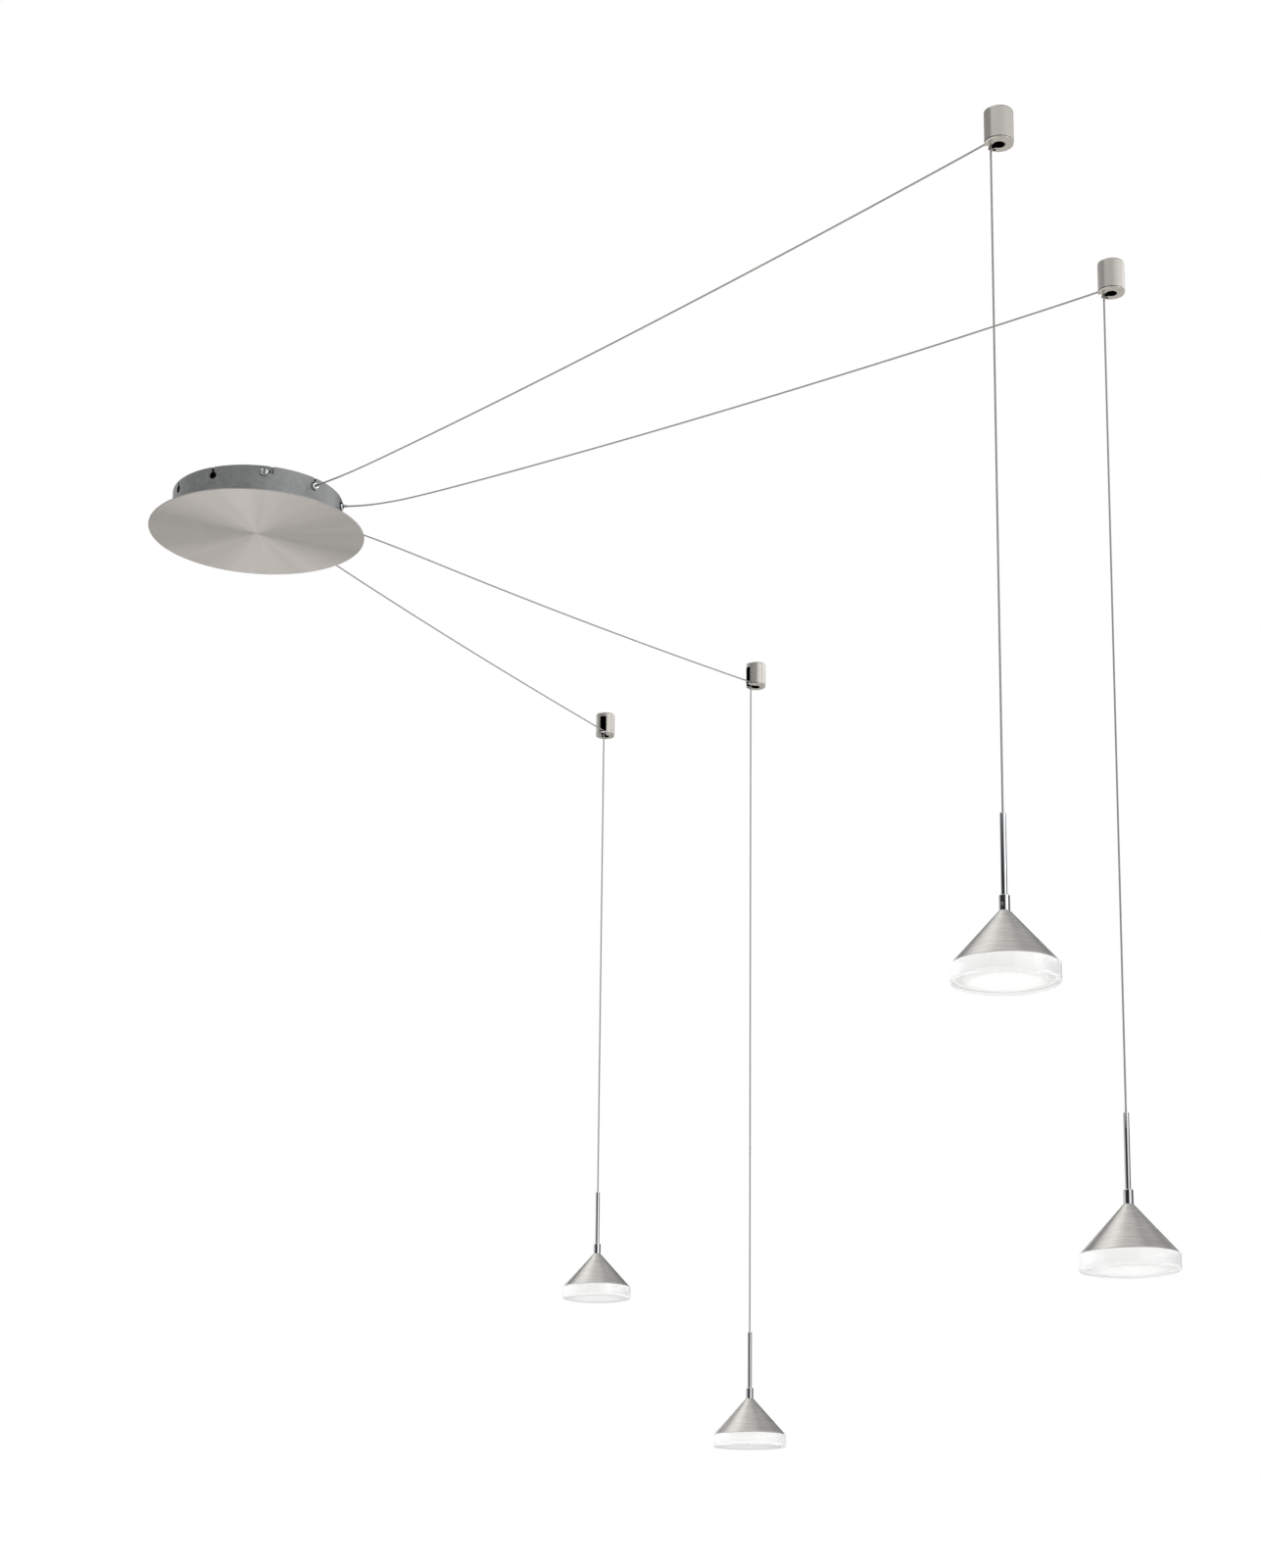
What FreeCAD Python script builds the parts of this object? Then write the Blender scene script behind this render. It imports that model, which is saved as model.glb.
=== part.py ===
import FreeCAD, Part
import math
import os

from FreeCAD import Vector

# Pendant light with four heads: a round ceiling canopy, four cables that run along the ceiling to
# four clips, and a small conical head hanging on a cable under each clip.
# Frame: origin on the ceiling plane at the canopy's centre, +Z up, +X right and +Y away from
# someone who looks at the canopy from the side where two of its cable places are empty.
# Lengths are in millimetres, angles in degrees. Heights are measured down from the ceiling.

# Where the four heads hang: places of their clips on the ceiling, the way each clip's window
# faces, and how far the underside of each lens is below the ceiling.
clip_x = {"a": 949.0, "b": 1104.0, "c": 686.0, "d": 431.0}
clip_y = {"a": -986.0, "b": -664.0, "c": 642.0, "d": 880.0}
clip_facing = {"a": 150, "b": 149, "c": 214, "d": 260}
lens_drop = {"a": 940.0, "b": 1177.0, "c": 1251.0, "d": 993.0}

# Canopy: a sheet steel drum with a wider brushed plate under it.
canopy_height = 50.0
plate_radius = 147.0
plate_thickness = 2.0
plate_bevel = 0.6
drum_radius = 116.0
drum_wall = 1.2
drum_lip = 14.0
drum_bevel = 0.8
rim_gap = 0.4

# Places round the drum's wall, 36 degrees apart: keyholes, and side screws between or on them.
place_count = 10
first_place_angle = -147
keyhole_radius = 5.1
keyhole_slot = 3.0
keyhole_drop = 12.0
screw_angles = (-76, 44, 164)
screw_drop = 8.2
screw_radius = 2.0
screw_head_radius = 6.2
screw_head_height = 3.6
screw_dome_share = 0.7
screw_slot_width = 2.2
screw_slot_depth = 1.6
screw_reach = 9.0
bayonet_width = 4.4
bayonet_throw = 10.5

# Cable glands in four of the keyholes.
gland_angle = {"a": -39, "b": -3, "c": 33, "d": 69}
gland_neck_radius = 4.6
gland_neck_length = 7.0
gland_flange_radius = 5.8
gland_flange_thickness = 0.8
gland_dome_height = 2.4
gland_dome_share = 0.9
gland_nose_radius = 2.0
gland_nose_length = 5.6
gland_nut_across = 13.0
gland_nut_thickness = 3.0

# Ceiling bracket, and what it carries inside the drum.
bracket_thickness = 1.5
bracket_bend_share = 0.8
bracket_clearance = 0.6
tab_height = 14.0
tab_width = 24.0
ceiling_screw_spacing = 170.0
ceiling_screw_hole = 2.6
entry_radius = 12.0
entry_x = -10.0
entry_y = -52.0
driver_length = 100.0
driver_width = 40.0
driver_height = 26.0
driver_round = 3.0
driver_ear = 12.0
driver_ear_width = 20.0
driver_wall_gap = 6.0
ear_thickness = 2.0
block_length = 36.0
block_depth = 18.0
block_height = 17.0
block_ear = 8.0
block_setback = 6.0
block_clamp_size = 4.0
block_clamp_depth = 5.0
port_pitch = 6.5
fan_angle = 15
fixing_radius = 1.6
fixing_head_radius = 3.2
fixing_head_height = 2.0
stud_count = 4
stud_first_angle = 60
stud_radius = 2.0
stud_height = 6.5
stud_nut_across = 7.0
stud_nut_thickness = 3.0

# Cables.
cable_radius = 1.1
cable_clearance = 0.1
pivot_gap = 0.4
port_run = 20.0
fan_join_radius = 60.0
mouth_run = 6.0
bend_runs = (12.0, 28.0, 60.0)
bend_dips = (0.4, 1.8, 4.6)
bend_turn_shares = (0.25, 0.5, 0.8)
cable_sag = {"a": 8.0, "b": 9.0, "c": 5.0, "d": 4.0}
sag_place_shares = (0.2, 0.45, 0.72, 0.92)
arc_run_share = 0.45

# Clips: a turned cup against the ceiling, a cap in its mouth, a cross pin and a grub screw.
clip_radius = 15.5
clip_height = 38.0
cup_wall = 1.6
cup_web = 3.5
cup_round = 2.0
clip_screw_hole = 2.25
window_width = 10.5
window_top = 7.5
cap_flange = 2.2
cap_spigot = 1.8
cap_round_share = 0.8
seam_gap = 0.7
seam_land = 0.6
spigot_relief = 1.8
cap_slot_width = 8.0
access_radius = 6.6
spigot_clearance = 0.05
pin_radius = 1.3
pin_drop = 34.0
pin_wall_gap = 0.45
pin_bite = 0.9
pin_seat_gap = 0.15
grub_radius = 1.9
grub_length = 1.8
grub_recess = 0.6
grub_wall_gap = 0.8
grub_angle = -38

# Heads: lens, cone, collar and stem, from the bottom up.
lens_radius = 55.0
lens_height = 18.0
lens_round = 3.0
lens_wall = 13.0
lens_floor = 5.0
lens_spigot = 2.5
lens_spigot_gap = 0.3
diffuser_thickness = 2.0
diffuser_gap = 0.3
cone_rim_step = 0.8
cone_height = 55.0
cone_top_radius = 5.8
cone_wall = 1.5
cone_web = 2.0
cone_rim_band = 0.6
board_thickness = 1.6
board_gap = 1.5
chip_size = 3.4
chip_height = 0.8
chip_counts = (1, 6, 12)
chip_ring_radii = (0, 13.0, 27.0)
board_screw_count = 3
board_screw_radius = 1.1
board_screw_length = 7.0
board_screw_head_radius = 2.0
board_screw_head_height = 1.3
collar_radius = 5.6
collar_height = 16.0
collar_bevel = 0.5
collar_floor = 4.0
collar_spigot_radius = 3.4
collar_spigot_length = 6.0
collar_nut_across = 9.5
collar_nut_thickness = 3.0
collar_screw_radius = 2.0
collar_screw_share = 0.2
collar_screw_angle = {"a": -124, "b": 40, "c": 75, "d": 100}
tube_radius = 3.25
tube_clearance = 0.05
tube_bore_gap = 0.5
tube_length = 85.0
tube_bevel = 0.5

# One allowance for cuts that run past the solid, and one for touching round parts in one body.
overrun = 1.0
seat_gap = 0.05

# Heights that follow from the sizes above, and plan directions.
origin = Vector(0, 0, 0)
up = Vector(0, 0, 1)
rim_height = -rim_gap
plate_top = -canopy_height + plate_thickness
drum_inner_radius = drum_radius - drum_wall
bracket_radius = drum_inner_radius - bracket_clearance
driver_corner_radius = bracket_radius - bracket_thickness - driver_wall_gap
driver_offset = math.sqrt(driver_corner_radius ** 2 - (driver_length / 2) ** 2) - driver_width / 2
gland_height = rim_height - keyhole_drop
screw_height = rim_height - screw_drop
clip_inner_radius = clip_radius - cup_wall
cup_bottom = -clip_height + cap_flange
pin_offset = clip_inner_radius - pin_wall_gap - pin_radius
pin_bend_radius = pin_radius + pin_seat_gap + cable_radius
hang_offset = pin_offset - pin_bend_radius
swing_height = -pin_drop - pivot_gap / 2
tube_bore_radius = cable_radius + tube_bore_gap


# General shapes.

def heading(angle):
    # Unit vector in plan.
    return Vector(math.cos(math.radians(angle)), math.sin(math.radians(angle)), 0)


def bent_edges(points, radii, closed):
    # Straight runs through the points, with a tangent arc of the given radius at each corner.
    count = len(points)
    edges = []
    starts = []
    ends = []
    for index in range(count):
        here = points[index]
        if not closed and index in (0, count - 1) or radii[index] == 0:
            starts.append(here)
            ends.append(here)
            continue
        back = (points[index - 1] - here).normalize()
        ahead = (points[(index + 1) % count] - here).normalize()
        half_turn = (math.pi - back.getAngle(ahead)) / 2
        reach = radii[index] * math.tan(half_turn)
        inset = radii[index] / math.cos(half_turn) - radii[index]
        first = here + back * reach
        last = here + ahead * reach
        middle = here + (back + ahead).normalize() * inset
        edges.append(Part.Arc(first, middle, last).toShape())
        starts.append(first)
        ends.append(last)
    pairs = range(count) if closed else range(count - 1)
    for index in pairs:
        following = (index + 1) % count
        if ends[index].distanceToPoint(starts[following]) > Part.Vertex(origin).Tolerance:
            edges.append(Part.LineSegment(ends[index], starts[following]).toShape())
    return Part.__sortEdges__(edges)


def turned(outline, corner=None, corner_round=0):
    # Solid of revolution about Z from (radius, height) points, with one corner rounded if asked.
    points = [Vector(radius, 0, height) for radius, height in outline]
    radii = [corner_round if index == corner else 0 for index in range(len(points))]
    face = Part.Face(Part.Wire(bent_edges(points, radii, True)))
    return face.revolve(origin, up, 360)


def disc(radius, bottom, top, centre=origin):
    return Part.makeCylinder(radius, top - bottom, centre + up * bottom)


def block(length, width, bottom, top):
    # Box centred on the Z axis.
    return Part.makeBox(length, width, top - bottom, Vector(-length / 2, -width / 2, bottom))


def hexagon(across, bottom, top):
    corner = across / 2 / math.cos(math.pi / 6)
    points = [heading(60 * index) * corner + up * bottom for index in range(7)]
    return Part.Face(Part.makePolygon(points)).extrude(up * (top - bottom))


def turned_to(shape, angle, place=origin):
    # Turns a shape about Z and puts it in its place.
    copy = shape.copy()
    copy.rotate(origin, up, angle)
    copy.translate(place)
    return copy


def on_wall(shape, radius, angle, height):
    # Lays a shape that was made about Z so that it points outwards through a round wall.
    copy = shape.copy()
    copy.rotate(origin, Vector(0, 1, 0), 90)
    copy.translate(Vector(radius, 0, height))
    copy.rotate(origin, up, angle)
    return copy


def save(name, shapes):
    # One node: a single solid, or a group of separate solids.
    shape = shapes[0] if len(shapes) == 1 else Part.makeCompound(shapes)
    shape.exportStep("parts/" + name + ".step")


def place_angle(place):
    return first_place_angle + place * 360 / place_count


def screw_is_near(angle):
    # A keyhole's place is left out where a side screw's head needs it.
    needed = keyhole_radius + screw_head_radius
    return min(abs(math.radians(angle - screw)) for screw in screw_angles) * drum_radius < needed


# Canopy.

def canopy_drum():
    # Ring wall with a lip turned in at the bottom, keyholes open to the rim, and bayonet slots.
    lip_radius = drum_inner_radius - drum_lip
    outline = (
        (drum_radius, rim_height),
        (drum_radius, plate_top + drum_bevel),
        (drum_radius - drum_bevel, plate_top),
        (lip_radius, plate_top),
        (lip_radius, plate_top + drum_wall),
        (drum_inner_radius, plate_top + drum_wall),
        (drum_inner_radius, rim_height),
    )
    drum = turned(outline)
    cuts = []
    depth = drum_wall + overrun * 2
    cut_radius = drum_inner_radius - overrun
    for place in range(place_count):
        angle = place_angle(place)
        if screw_is_near(angle):
            continue
        cuts.append(on_wall(Part.makeCylinder(keyhole_radius, depth), cut_radius, angle, gland_height))
        slot_height = keyhole_drop + overrun
        slot = block(slot_height, keyhole_slot, 0, depth)
        cuts.append(on_wall(slot, cut_radius, angle, gland_height + slot_height / 2))
    for angle in screw_angles:
        throw_angle = math.degrees(bayonet_throw / drum_radius)
        entry_height = screw_drop + bayonet_width / 2 + overrun
        entry = block(entry_height, bayonet_width, 0, depth)
        entry_middle = screw_height - bayonet_width / 2 + entry_height / 2
        cuts.append(on_wall(entry, cut_radius, angle + throw_angle, entry_middle))
        catch = block(bayonet_width, bayonet_throw, 0, depth)
        cuts.append(on_wall(catch, cut_radius, angle + throw_angle / 2, screw_height))
        cuts.append(on_wall(Part.makeCylinder(bayonet_width / 2, depth), cut_radius, angle, screw_height))
    for middle in stud_places():
        cuts.append(disc(stud_radius + cable_clearance, plate_top - overrun, plate_top + depth, middle))
    return drum.cut(cuts)


def stud_places():
    radius = drum_inner_radius - drum_lip / 2
    step = 360 / stud_count
    return [heading(stud_first_angle + step * index) * radius for index in range(stud_count)]


def cover_plate():
    outline = (
        (0, plate_top),
        (plate_radius - plate_bevel, plate_top),
        (plate_radius, plate_top - plate_bevel),
        (plate_radius, plate_bevel - canopy_height),
        (plate_radius - plate_bevel, -canopy_height),
        (0, -canopy_height),
    )
    return turned(outline)


def plate_fixings():
    # Weld studs on the plate's back, each with a nut that holds the drum's lip.
    pieces = []
    nut_bottom = plate_top + drum_wall
    nut = hexagon(stud_nut_across, nut_bottom, nut_bottom + stud_nut_thickness)
    nut = nut.cut(disc(stud_radius + seat_gap, nut_bottom - overrun, plate_top + stud_height + overrun))
    for middle in stud_places():
        pieces.append(disc(stud_radius, plate_top, plate_top + stud_height, middle))
        pieces.append(turned_to(nut, 0, middle))
    return pieces


def side_screws():
    # Domed screws that hold the drum on the bracket's tabs, with a slot across each head.
    outline = (
        (0, -screw_reach),
        (screw_radius, -screw_reach),
        (screw_radius, 0),
        (screw_head_radius, 0),
        (screw_head_radius, screw_head_height),
        (0, screw_head_height),
    )
    screw = turned(outline, 4, screw_head_height * screw_dome_share)
    slot_bottom = screw_head_height - screw_slot_depth
    slot = block(screw_head_radius * 3, screw_slot_width, slot_bottom, screw_head_height + overrun)
    screw = screw.cut(slot)
    return [on_wall(screw, drum_radius + seat_gap, angle, screw_height) for angle in screw_angles]


def gland_body():
    # Domed gland with a tapered nose, made about Z with the drum's outer surface at height zero.
    bore = cable_radius + cable_clearance
    dome_top = gland_flange_thickness + gland_dome_height
    outline = (
        (bore, -drum_wall - gland_neck_length),
        (gland_neck_radius, -drum_wall - gland_neck_length),
        (gland_neck_radius, 0),
        (gland_flange_radius, 0),
        (gland_flange_radius, gland_flange_thickness),
        (gland_flange_radius, dome_top),
        (gland_nose_radius, dome_top),
        (bore + (gland_nose_radius - bore) / 2, dome_top + gland_nose_length),
        (bore, dome_top + gland_nose_length),
    )
    dome_round = min(gland_dome_height, gland_flange_radius - gland_nose_radius) * gland_dome_share
    return turned(outline, 5, dome_round)


def cable_glands():
    body = gland_body()
    return [on_wall(body, drum_radius, angle, gland_height) for angle in gland_angle.values()]


def gland_nuts():
    # The nut's corners clear the curve of the wall it is tightened against.
    corner = gland_nut_across / 2 / math.cos(math.pi / 6)
    wall_curve = drum_inner_radius - math.sqrt(drum_inner_radius ** 2 - corner ** 2)
    nut = hexagon(gland_nut_across, -gland_nut_thickness, 0)
    nut = nut.cut(disc(gland_neck_radius + seat_gap, -gland_nut_thickness - overrun, overrun))
    radius = drum_inner_radius - wall_curve - seat_gap
    return [on_wall(nut, radius, angle, gland_height) for angle in gland_angle.values()]


def fixing_places():
    # Driver screws at its two ears, then terminal block screws at its two ears.
    driver_reach = driver_length / 2 + driver_ear / 2
    block_reach = block_length / 2 + block_ear / 2
    block_middle = -block_setback - block_depth / 2
    places = [Vector(-driver_offset, side * driver_reach, 0) for side in (-1, 1)]
    for side in (-1, 1):
        place = Vector(block_middle, side * block_reach, 0)
        places.append(heading(fan_angle) * place.x + heading(fan_angle + 90) * place.y)
    return places


def ceiling_bracket():
    # Flat disc against the ceiling, its edge rounded, with three tabs bent down for the side screws.
    outline = (
        (0, -bracket_thickness),
        (bracket_radius, -bracket_thickness),
        (bracket_radius, 0),
        (0, 0),
    )
    bracket = turned(outline, 2, bracket_thickness * bracket_bend_share)
    ring = disc(bracket_radius, -tab_height, -bracket_thickness)
    ring = ring.cut(disc(bracket_radius - bracket_thickness, -tab_height - overrun, overrun))
    span = Part.makeBox(bracket_radius + overrun, tab_width, tab_height + overrun,
                        Vector(0, -tab_width / 2, -tab_height - overrun))
    tabs = [ring.common(turned_to(span, angle)) for angle in screw_angles]
    bracket = bracket.fuse(tabs).removeSplitter()
    cuts = []
    for angle in screw_angles:
        hole = Part.makeCylinder(screw_radius + seat_gap, screw_reach * 2)
        cuts.append(on_wall(hole, bracket_radius - screw_reach, angle, screw_height))
    for side in (-1, 1):
        middle = Vector(0, side * ceiling_screw_spacing / 2, 0)
        cuts.append(disc(ceiling_screw_hole, -bracket_thickness - overrun, overrun, middle))
    cuts.append(disc(entry_radius, -bracket_thickness - overrun, overrun, Vector(entry_x, entry_y, 0)))
    for place in fixing_places():
        cuts.append(disc(fixing_radius + seat_gap, -bracket_thickness - overrun, overrun, place))
    return bracket.cut(cuts)


def led_driver():
    # Closed driver box with a screw ear at each end, on the bracket's underside.
    top = -bracket_thickness
    box = block(driver_width, driver_length, top - driver_height, top)
    upright = [edge for edge in box.Edges if edge.BoundBox.ZLength > ear_thickness]
    box = box.makeFillet(driver_round, upright)
    ears = block(driver_ear_width, driver_length + driver_ear * 2, top - ear_thickness, top)
    driver = box.fuse(ears).removeSplitter()
    driver.translate(Vector(-driver_offset, 0, 0))
    holes = [disc(fixing_radius + seat_gap, top - ear_thickness - overrun, top + overrun, place)
             for place in fixing_places()[:2]]
    return driver.cut(holes)


def terminal_block():
    # Terminal block that faces the glands, with an open clamp over each cable's core end.
    top = -bracket_thickness
    body = block(block_depth, block_length, top - block_height, top)
    ears = block(block_depth, block_length + block_ear * 2, top - ear_thickness, top)
    body = body.fuse(ears).removeSplitter()
    clamp_bottom = top - block_height - overrun
    for offset in port_offsets():
        clamp = block(block_clamp_size, block_clamp_size, clamp_bottom, top - block_height + block_clamp_depth)
        body = body.cut(turned_to(clamp, 0, Vector(0, offset, 0)))
    body = turned_to(body, 0, Vector(-block_setback - block_depth / 2, 0, 0))
    body = turned_to(body, fan_angle)
    holes = [disc(fixing_radius + seat_gap, top - ear_thickness - overrun, top + overrun, place)
             for place in fixing_places()[2:]]
    return body.cut(holes)


def port_offsets():
    names = sorted(gland_angle)
    middle = (len(names) - 1) / 2
    return [(index - middle) * port_pitch for index in range(len(names))]


def bracket_screws():
    # Pan head screws up through the ears into the bracket.
    seat = -bracket_thickness - ear_thickness
    outline = (
        (0, 0),
        (fixing_radius, 0),
        (fixing_radius, seat),
        (fixing_head_radius, seat),
        (fixing_head_radius, seat - fixing_head_height),
        (0, seat - fixing_head_height),
    )
    screw = turned(outline)
    return [turned_to(screw, 0, place) for place in fixing_places()]


# Cables.

def clip_place(name):
    return Vector(clip_x[name], clip_y[name], 0)


def hang_place(name):
    # Where the hanging cable leaves the clip, in plan.
    return clip_place(name) + heading(clip_facing[name]) * hang_offset


def ceiling_route(name):
    # From the terminal block through the gland, along the ceiling and over the clip's pin.
    angle = gland_angle[name]
    level = up * gland_height
    port = heading(fan_angle) * -block_setback
    port = port + heading(fan_angle + 90) * port_offsets()[sorted(gland_angle).index(name)] + level
    nose = drum_radius + gland_flange_thickness + gland_dome_height + gland_nose_length
    mouth = heading(angle) * (nose + mouth_run) + level
    points = [port, port + heading(fan_angle) * port_run, heading(angle) * fan_join_radius + level, mouth]
    corner = hang_place(name) + up * (pin_bend_radius - pin_drop)
    aim = corner - mouth
    turn = math.degrees(math.atan2(aim.y, aim.x)) - angle
    here = mouth
    for run, dip, share in zip(bend_runs, bend_dips, bend_turn_shares):
        here = here + heading(angle + turn * share) * run
        points.append(Vector(here.x, here.y, gland_height - dip))
    last_bend = points[-1]
    for share in sag_place_shares:
        sag = 4 * share * (1 - share) * cable_sag[name]
        points.append(last_bend + (corner - last_bend) * share - up * sag)
    points.append(corner)
    points.append(Vector(corner.x, corner.y, -pin_drop - seat_gap))
    return points


def route_radii(points):
    # Each arc is as large as its two runs allow, and the last one lies on the clip's pin.
    radii = [0]
    for before, here, after in zip(points, points[1:], points[2:]):
        shorter = min(before.distanceToPoint(here), here.distanceToPoint(after))
        half_turn = (here - before).getAngle(after - here) / 2
        radii.append(arc_run_share * shorter / math.tan(half_turn))
    radii[-1] = pin_bend_radius
    return radii + [0]


def ceiling_cable(name):
    points = ceiling_route(name)
    radii = route_radii(points)
    path = Part.Wire(bent_edges(points, radii, False))
    ring = Part.makeCircle(cable_radius, points[0], points[1] - points[0])
    cable = path.makePipeShell([Part.Wire(ring)], True, False)
    section = math.pi * cable_radius ** 2
    print("ceiling cable", name, "length", round(path.Length, 1), "radii", [round(r, 1) for r in radii[1:-1]],
          "volume share", round(cable.Volume / section / path.Length, 4))
    return cable


def drop_cable(name):
    # Hangs straight, tight under the head's weight, from the clip's pin to the stem's mouth.
    bottom = stem_top(name) + pivot_gap
    top = swing_height - pivot_gap
    cable = disc(cable_radius, bottom, top, hang_place(name))
    print("drop cable", name, "length", round(top - bottom, 1))
    return cable


# Clips, made at the origin with the window towards +X, then turned and put in place.

def clip_cup():
    # Turned cup with a web at the ceiling and a tall window that opens at the lower edge.
    outline = (
        (clip_screw_hole, 0),
        (clip_radius, 0),
        (clip_radius, cup_bottom),
        (clip_inner_radius, cup_bottom),
        (clip_inner_radius, -cup_web),
        (clip_screw_hole, -cup_web),
    )
    cup = turned(outline, 1, cup_round)
    window_height = clip_height - window_top
    window = Part.makeBox(clip_radius + overrun, window_width, window_height,
                          Vector(0, -window_width / 2, -clip_height))
    return cup.cut([window, clip_pin()])


def pin_half_length():
    inner_half = math.sqrt(clip_inner_radius ** 2 - pin_offset ** 2)
    return inner_half + pin_bite


def clip_pin():
    # Cross pin between the window's jambs that the cable bends over.
    half = pin_half_length()
    return Part.makeCylinder(pin_radius, half * 2, Vector(pin_offset, -half, -pin_drop), Vector(0, 1, 0))


def grub_place():
    return heading(grub_angle) * (clip_inner_radius - grub_wall_gap - grub_radius)


def clip_cap():
    # Cap with a round-edged flange and a keyhole: a round way in for a screwdriver, and a cable slot.
    # The flange stands clear of the cup outside its land, and the spigot makes room for the pin.
    spigot_radius = clip_inner_radius - spigot_clearance
    spigot_top = cup_bottom + cap_spigot
    relief_radius = access_radius + spigot_relief
    land_radius = clip_inner_radius + seam_land
    flange_top = cup_bottom - seam_gap
    outline = (
        (0, cup_bottom),
        (relief_radius, cup_bottom),
        (relief_radius, spigot_top),
        (spigot_radius, spigot_top),
        (spigot_radius, cup_bottom),
        (land_radius, cup_bottom),
        (land_radius, flange_top),
        (clip_radius, flange_top),
        (clip_radius, -clip_height),
        (0, -clip_height),
    )
    cap = turned(outline, 8, (clip_height + flange_top) * cap_round_share)
    pin_way = Part.makeBox(clip_radius, clip_radius * 2, cap_spigot + overrun,
                           Vector(pin_offset - pin_radius - pin_wall_gap, -clip_radius, cup_bottom))
    depth = cap_flange + cap_spigot + overrun * 2
    slot = Part.makeBox(clip_radius + overrun, cap_slot_width, depth,
                        Vector(0, -cap_slot_width / 2, -clip_height - overrun))
    access = disc(access_radius, -clip_height - overrun, spigot_top + overrun)
    grub_hole = disc(grub_radius + seat_gap, -clip_height - overrun, spigot_top + overrun, grub_place())
    return cap.cut([pin_way, slot, access, grub_hole])


def clip_grub_screw():
    bottom = grub_recess - clip_height
    screw = disc(grub_radius, bottom, bottom + grub_length, grub_place())
    socket = hexagon(grub_radius, bottom - overrun, bottom + grub_length / 2)
    return screw.cut(turned_to(socket, 0, grub_place()))


def at_clip(shape, name):
    return turned_to(shape, clip_facing[name], clip_place(name))


# Heads, made about Z with the underside of the lens at height zero.

cone_rim_radius = lens_radius - cone_rim_step
cone_base = lens_height + cone_rim_band
cone_top = lens_height + cone_height
cone_slope = (cone_rim_radius - cone_top_radius) / (cone_top - cone_base)
cone_wall_across = cone_wall * math.sqrt(1 + cone_slope ** 2)
recess_radius = lens_radius - lens_wall
board_bottom = lens_height + lens_spigot
board_top = board_bottom + board_thickness
tube_bottom = cone_top + collar_floor
tube_top = cone_top + collar_height + tube_length


def cone_inner_radius(height):
    return cone_rim_radius - cone_wall_across - cone_slope * (height - cone_base)


def stem_top(name):
    return tube_top - lens_drop[name]


def lens():
    # Thick clear disc with a rounded lower edge, a deep well for the light and a locating ring.
    spigot_radius = cone_inner_radius(board_bottom) - lens_spigot_gap
    outline = (
        (0, 0),
        (lens_radius, 0),
        (lens_radius, lens_height),
        (spigot_radius, lens_height),
        (spigot_radius, board_bottom),
        (recess_radius, board_bottom),
        (recess_radius, lens_floor),
        (0, lens_floor),
    )
    body = turned(outline, 1, lens_round)
    holes = [disc(board_screw_radius + seat_gap, board_top - board_screw_length - overrun, board_top, place)
             for place in board_screw_places()]
    return body.cut(holes)


def diffuser():
    return disc(recess_radius - diffuser_gap, lens_floor, lens_floor + diffuser_thickness)


def board_radius():
    return cone_inner_radius(board_top) - board_gap


def board_screw_places():
    radius = (recess_radius + board_radius()) / 2
    step = 360 / board_screw_count
    return [heading(step * index) * radius for index in range(board_screw_count)]


def led_board():
    # Round board on the lens's ring, with its chips facing down into the well.
    board = disc(board_radius(), board_bottom, board_top)
    chip = block(chip_size, chip_size, board_bottom - chip_height, board_bottom)
    chips = []
    for count, radius in zip(chip_counts, chip_ring_radii):
        for index in range(count):
            angle = 360 * index / count
            chips.append(turned_to(chip, angle, heading(angle) * radius))
    board = board.fuse(chips)
    holes = [disc(board_screw_radius + seat_gap, board_bottom - overrun, board_top + overrun, place)
             for place in board_screw_places()]
    return board.cut(holes)


def shade_cone():
    # Spun cone with a short straight band at its rim and a flat web under the collar.
    web_bottom = cone_top - cone_web
    rim_inner_radius = cone_rim_radius - cone_wall_across
    outline = (
        (rim_inner_radius, lens_height),
        (cone_rim_radius, lens_height),
        (cone_rim_radius, cone_base),
        (cone_top_radius, cone_top),
        (collar_spigot_radius + seat_gap, cone_top),
        (collar_spigot_radius + seat_gap, web_bottom),
        (cone_inner_radius(web_bottom), web_bottom),
        (rim_inner_radius, cone_base),
    )
    return turned(outline)


def stem_collar(angle):
    # Collar that clamps the stem, with a threaded spigot through the cone's web.
    bore = tube_bore_radius
    spigot_bottom = cone_top - collar_spigot_length
    outline = (
        (bore, spigot_bottom),
        (collar_spigot_radius, spigot_bottom),
        (collar_spigot_radius, cone_top),
        (collar_radius, cone_top),
        (collar_radius, cone_top + collar_height - collar_bevel),
        (collar_radius - collar_bevel, cone_top + collar_height),
        (tube_radius + tube_clearance, cone_top + collar_height),
        (tube_radius + tube_clearance, tube_bottom),
        (bore, tube_bottom),
    )
    collar = turned(outline)
    hole = Part.makeCylinder(collar_screw_radius + seat_gap, collar_radius + overrun)
    return collar.cut(on_wall(hole, 0, angle, collar_screw_height()))


def collar_screw_height():
    return cone_top + collar_floor + (collar_height - collar_floor) * collar_screw_share


def stem_tube():
    outline = (
        (tube_bore_radius, tube_bottom),
        (tube_radius, tube_bottom),
        (tube_radius, tube_top - tube_bevel),
        (tube_radius - tube_bevel, tube_top),
        (tube_bore_radius, tube_top),
    )
    return turned(outline)


def stem_lead():
    # The last of the cable, from the stem's mouth down to the board.
    return disc(cable_radius, board_top, tube_top - pivot_gap)


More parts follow.
